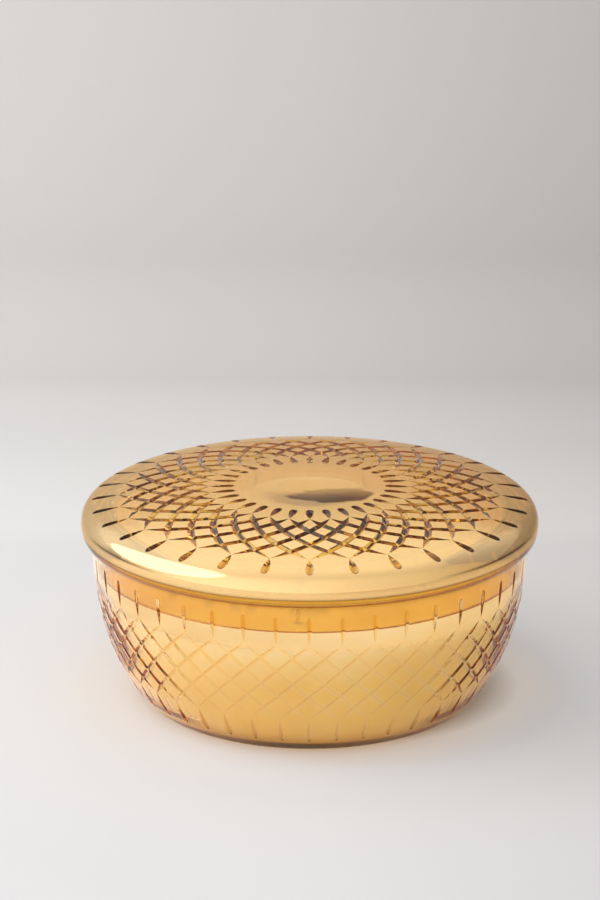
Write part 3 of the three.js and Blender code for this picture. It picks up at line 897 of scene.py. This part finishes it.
bpy.ops.object.select_all(action="DESELECT")
strands = []
for strand in range(3):
    bpy.ops.curve.primitive_nurbs_path_add(location=(0.0, 0.0, 0.0))
    strand_curve = bpy.context.object
    strand_curve.data.splines.remove(strand_curve.data.splines[0])
    spline = strand_curve.data.splines.new("POLY")
    knots = round(wick_length / braid_pitch * 12)
    spline.points.add(knots)
    for knot, point in enumerate(spline.points):
        share = knot / knots
        rise = wick_length * share
        turn = 2 * math.pi * (rise / braid_pitch + strand / 3)
        clear_of_wax = max(0.0, rise - (wick_length - wick_stands_out)) / wick_stands_out
        gathered = 1.0 - 0.3 * max(0.0, clear_of_wax - 0.8) / 0.2
        point.co = (
            braid_half_width * math.sin(turn) * gathered + wick_lean * clear_of_wax ** 2,
            -wick_ring_radius + braid_half_thickness * math.sin(2 * turn) * gathered,
            wick_start + rise,
            1.0,
        )
        point.radius = 1.0 - 0.35 * max(0.0, clear_of_wax - 0.9) / 0.1
    strand_curve.data.bevel_depth = strand_radius
    strand_curve.data.bevel_resolution = 2
    strand_curve.data.use_fill_caps = True
    strands.append(strand_curve)
for strand_curve in strands:
    strand_curve.select_set(True)
bpy.context.view_layer.objects.active = strands[0]
bpy.ops.object.convert(target="MESH")
bpy.ops.object.join()
wick = bpy.context.object
bpy.ops.object.mode_set(mode="EDIT")
bpy.ops.mesh.select_all(action="SELECT")
bpy.ops.mesh.remove_doubles(threshold=1e-6)
bpy.ops.mesh.normals_make_consistent(inside=False)
bpy.ops.object.mode_set(mode="OBJECT")
bpy.ops.object.shade_smooth_by_angle(angle=math.radians(50.0))

cotton, output, link, add = new_material("waxed_cotton")
place = add("ShaderNodeTexCoord").outputs["Object"]
drawn_out = add("ShaderNodeMapping", {"Vector": place, "Scale": (1.0, 1.0, 0.22)})
fibres = add("ShaderNodeTexNoise", {"Vector": drawn_out.outputs["Vector"], "Scale": 5200.0, "Detail": 2.0})
yarn = add("ShaderNodeValToRGB", {"Fac": fibres.outputs["Fac"]})
set_ramp(yarn, [(0.35, (0.80, 0.75, 0.62)), (0.65, (0.93, 0.90, 0.82))])
fibre_relief = add(
    "ShaderNodeBump", {"Height": fibres.outputs["Fac"], "Strength": 0.5, "Distance": 0.00008},
)
surface = add("ShaderNodeBsdfPrincipled", {
    "Base Color": yarn.outputs["Color"],
    "Roughness": 0.62,
    "Sheen Weight": 0.15,
    "Normal": fibre_relief.outputs["Normal"],
})
link(surface.outputs["BSDF"], output.inputs["Surface"])
set_round_the_ring(wick, "braided_wick", "wick", cotton)


# The candle: soft cream wax poured into the bowl, round the wicks and their tabs, to about two thirds
# of the bowl's height. It creeps up the glass at its edge and up each wick as it sets.

wax_gap = 0.0003
wax_bottom = floor_thickness + wax_gap
wax_edge_reach = 0.005
wick_creep = 0.0009


def turned(name, places, sides):
    """A closed turned piece: a disc, drawn out from ring to ring along its outline."""
    (radius, height), *others = places
    bpy.ops.object.select_all(action="DESELECT")
    bpy.ops.mesh.primitive_circle_add(
        vertices=sides, radius=radius, fill_type="NGON", location=(0.0, 0.0, height),
    )
    piece = bpy.context.object
    piece.name = piece.data.name = name
    bpy.ops.object.transform_apply(location=True)
    bpy.ops.object.mode_set(mode="EDIT")
    bpy.ops.mesh.select_all(action="SELECT")
    bpy.ops.mesh.poke()
    edit = bmesh.from_edit_mesh(piece.data)
    for face in edit.faces:
        face.select_set(False)
    for edge in edit.edges:
        edge.select_set(edge.is_boundary)
    bmesh.update_edit_mesh(piece.data)
    for next_radius, next_height in others:
        bpy.ops.mesh.extrude_edges_move(TRANSFORM_OT_translate={"value": (0.0, 0.0, next_height - height)})
        scale = next_radius / radius
        bpy.ops.transform.resize(value=(scale, scale, 1.0), center_override=(0.0, 0.0, next_height))
        radius, height = next_radius, next_height
    bpy.ops.mesh.edge_face_add()
    bpy.ops.mesh.poke()
    bpy.ops.mesh.select_all(action="SELECT")
    bpy.ops.mesh.normals_make_consistent(inside=False)
    bpy.ops.object.mode_set(mode="OBJECT")
    return piece


inner_radius, inner_height = inner_wall.T
wax_side = [(float(np.interp(wax_bottom, inner_height, inner_radius)) - wax_gap, wax_bottom)]
for share in np.linspace(0.08, 1.0, 22):
    height = wax_bottom + (wax_top + wax_edge_rise - wax_bottom) * share
    wax_side.append((float(np.interp(height, inner_height, inner_radius)) - wax_gap, height))
edge_radius = wax_side[-1][0]
wax_surface = [
    (edge_radius - wax_edge_reach * share, wax_top + wax_edge_rise * (1 - share) ** 3)
    for share in (0.05, 0.12, 0.22, 0.36, 0.55, 0.8, 1.0)
]
wax_surface += [(0.080, wax_top), (0.060, wax_top), (0.040, wax_top), (0.020, wax_top)]
wax = turned("poured_wax", wax_side + wax_surface, 176)

# One round lump stands for the wax drawn up a wick, and one for what the wick, tab and pad take up.
creep_reach = 0.006
neck_room = neck_outside + 0.0004
drawn_up = turned("wax_drawn_up", [(creep_reach * 0.9, wax_top - 0.002)] + [
    (creep_reach - (creep_reach - 0.0016) * share, wax_top + wick_creep * share ** 3)
    for share in (0.0, 0.15, 0.3, 0.45, 0.6, 0.7, 0.8, 0.88, 0.95, 1.0)
], 32)
taken_up = turned("wax_taken_up", [
    (tab_radius + 0.0001, wax_bottom - 0.002),
    (tab_radius + 0.0001, tab_bottom + tab_metal + tab_rib + 0.0001),
    (neck_room, tab_bottom + tab_metal + 0.0011),
    (neck_room, tab_bottom + neck_height + 0.0001),
    (0.00135, tab_bottom + neck_height + 0.0012),
    (0.00135, wax_top + 0.004),
], 32)
for lump, operation in ((drawn_up, "UNION"), (taken_up, "DIFFERENCE")):
    for angle in wick_angles:
        lump.location = (wick_ring_radius * math.sin(angle), -wick_ring_radius * math.cos(angle), 0.0)
        bpy.context.view_layer.update()
        join = wax.modifiers.new("poured round the wick", "BOOLEAN")
        join.operation = operation
        join.object = lump
        select_only(wax)
        bpy.ops.object.modifier_apply(modifier=join.name)
    bpy.data.objects.remove(lump)
bpy.ops.object.mode_set(mode="EDIT")
bpy.ops.mesh.select_all(action="SELECT")
bpy.ops.mesh.remove_doubles(threshold=5e-6)
bpy.ops.mesh.normals_make_consistent(inside=False)
bpy.ops.object.mode_set(mode="OBJECT")
bpy.ops.object.shade_smooth_by_angle(angle=math.radians(40.0))

soft_wax, output, link, add = new_material("cream_wax")
place = add("ShaderNodeTexCoord").outputs["Object"]
clouds = add("ShaderNodeTexNoise", {"Vector": place, "Scale": 32.0, "Detail": 4.0, "Roughness": 0.55})
cream = add("ShaderNodeValToRGB", {"Fac": clouds.outputs["Fac"]})
set_ramp(cream, [(0.34, (0.875, 0.83, 0.72)), (0.66, (0.965, 0.945, 0.885))])
grain = add("ShaderNodeTexNoise", {"Vector": place, "Scale": 420.0, "Detail": 3.0})
relief = add("ShaderNodeBump", {"Height": grain.outputs["Fac"], "Strength": 0.15, "Distance": 0.0002})
surface = add("ShaderNodeBsdfPrincipled", {
    "Base Color": cream.outputs["Color"],
    "Roughness": ranged(add, clouds.outputs["Fac"], 0.3, 0.7, 0.38, 0.55),
    "Subsurface Weight": 0.8,
    "Subsurface Radius": (1.0, 0.75, 0.5),
    "Subsurface Scale": 0.010,
    "Normal": relief.outputs["Normal"],
})
link(surface.outputs["BSDF"], output.inputs["Surface"])
wax.data.materials.append(soft_wax)
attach(wax, "bowl")
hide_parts("wax_fill")


# The lid: the same glass, a low dome with a dished middle and a rolled rim, pressed in one piece
# with the collar that drops into the bowl's mouth. It lies loose on the rim and lifts off.

seat = bowl_height + 0.0003
crown = seat + 0.0218
lid_radius = mouth_radius + 0.0046
nose_height = seat + 0.006
rim_foot_inset = 0.0028
shoulder_radius = lid_radius - 0.0085
shoulder_height = crown - 0.0063
dish_radius = 0.028
dish_depth = 0.0012
middle_thickening = 0.0014
dome_thickness = 0.0055
collar_clearance = 0.0009
collar_wall = 0.0036
collar_radius = bore_radius - collar_clearance
collar_inner = collar_radius - collar_wall
collar_end = seat - 0.0149
collar_round = 0.0011
lid_fillet = 0.006
lid_groove_depth = 0.0012

lid_outline = Outline()
dish = bezier([
    (0.0, crown - dish_depth),
    (dish_radius * 0.4, crown - dish_depth),
    (dish_radius * 0.6, crown),
    (dish_radius, crown),
], 60)
lid_outline.follow(dish, 8)
dome = bezier([
    (dish_radius, crown),
    ((dish_radius + shoulder_radius) / 2, crown),
    (shoulder_radius, shoulder_height),
], 400)
dome_start = lid_outline.follow(dome, 22)[0]
dome_fall = (shoulder_height - crown) / ((shoulder_radius - dish_radius) / 2)
roll_reach = (lid_radius - shoulder_radius) * 2 / 3
nose = lid_outline.follow(bezier([
    (shoulder_radius, shoulder_height),
    (shoulder_radius + roll_reach, shoulder_height + roll_reach * dome_fall),
    (lid_radius, (nose_height + shoulder_height) / 2),
    (lid_radius, nose_height),
], 100), 16)[1]
lid_outline.follow(bezier([
    (lid_radius, nose_height), (lid_radius, seat), (lid_radius - rim_foot_inset, seat),
], 60), 8)
lid_outline.follow(line((lid_radius - rim_foot_inset, seat), (collar_radius, seat)), 1)
lid_outline.follow(line((collar_radius, seat), (collar_radius, collar_end + collar_round)), 2)
lid_outline.follow(bezier([
    (collar_radius, collar_end + collar_round),
    (collar_radius, collar_end),
    (collar_inner, collar_end),
    (collar_inner, collar_end + collar_round),
], 60), 8)
# The ceiling keeps the dome's thickness and turns down into the collar with a fillet.
across, along = np.diff(dome, axis=0).T
below = dome[:-1] + dome_thickness * np.array([along, -across]).T / np.hypot(across, along)[:, None]
ceiling = below[below[:, 0] < collar_inner - lid_fillet][::-1]
fillet_top = ceiling[0]
lid_outline.follow(line(
    (collar_inner, collar_end + collar_round), (collar_inner, fillet_top[1] - lid_fillet),
), 2)
lid_outline.follow(bezier([
    (collar_inner, fillet_top[1] - lid_fillet),
    (collar_inner, fillet_top[1]),
    (fillet_top[0], fillet_top[1]),
], 60), 8)
lid_outline.follow(ceiling, 14)
lid_outline.follow(bezier([
    tuple(ceiling[-1]),
    (dish_radius * 0.6, ceiling[-1][1]),
    (dish_radius * 0.4, crown - dish_depth - dome_thickness - middle_thickening),
    (0.0, crown - dish_depth - dome_thickness - middle_thickening),
], 60), 8)

# The leaves run a little way over the shoulder, so the pattern is measured from the dish to the rim.
lid_cut_shares = (0.093, 0.229, 0.73, 0.882)
lid = cut_glass("cut_glass_lid", lid_outline, dome_start, nose - dome_start, {
    "around": 32,
    "half_rows": 6,
    "shares": lid_cut_shares,
    "depth": lid_groove_depth,
    "half_width": 0.0017,
    "leaf_depth": 0.0013,
    "leaf_half_width": 0.0019,
    "leaf_shape": leaf_shape,
})
# The lustre ends a little way under the rim's nose, and painted dark lines of shade lie there and a little
# further in.
lustre_edge = nose + 0.0019
polish(lid, lid_outline, dome_start, nose, 0.0, lustre_edge)
paint_dark_ring(lid, lustre_edge, lid_groove_depth)
paint_dark_ring(lid, lustre_edge + 0.0018, lid_groove_depth)

# Painted shade: a dark line on the roll of the rim at the sides, and two more round its underside.
roll_line = nose_height + 0.0026
dark_line_under_nose = nose_height - 0.0017
side_angles = [-74, -62, -50, -36, 30, 46, 64, 76]
paint_shade_lines(lid, [
    (roll_line, 0.0006, shoulder_radius, side_angles, [0, 0.9, 0.9, 0, 0, 1, 1, 0]),
    (dark_line_under_nose, 0.0005, shoulder_radius, [-60, 0, 40, 70], [0.7, 0.7, 0.8, 0.5]),
    (seat, 0.0014, collar_radius, [-60, -20, 20, 45], [0.8, 0.5, 0.6, 1.0]),
])
lid.data.materials.append(amber_glass(
    "amber_lid_glass",
    coat={
        "deep": (1.0, 0.72, 0.36),
        "pale": (1.0, 0.77, 0.43),
        "deep_height": 0.084,
        "pale_height": 0.100,
    },
    cuts={
        "bare": (1.0, 0.70, 0.17),
        "groove_shade": (0.62, 0.34, 0.08),
        "groove_depth": lid_groove_depth,
        "flank_shade_share": 0.2,
    },
    lustre_share=0.56,
    lustre_haze=0.07,
    unbent_tint=(0.99, 0.955, 0.87),
    body_colour=(0.71, 0.50, 0.0),
    body_density=62.0,
    streak_share=1.0,
))
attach(lid, "lid")
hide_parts("glass_lid")
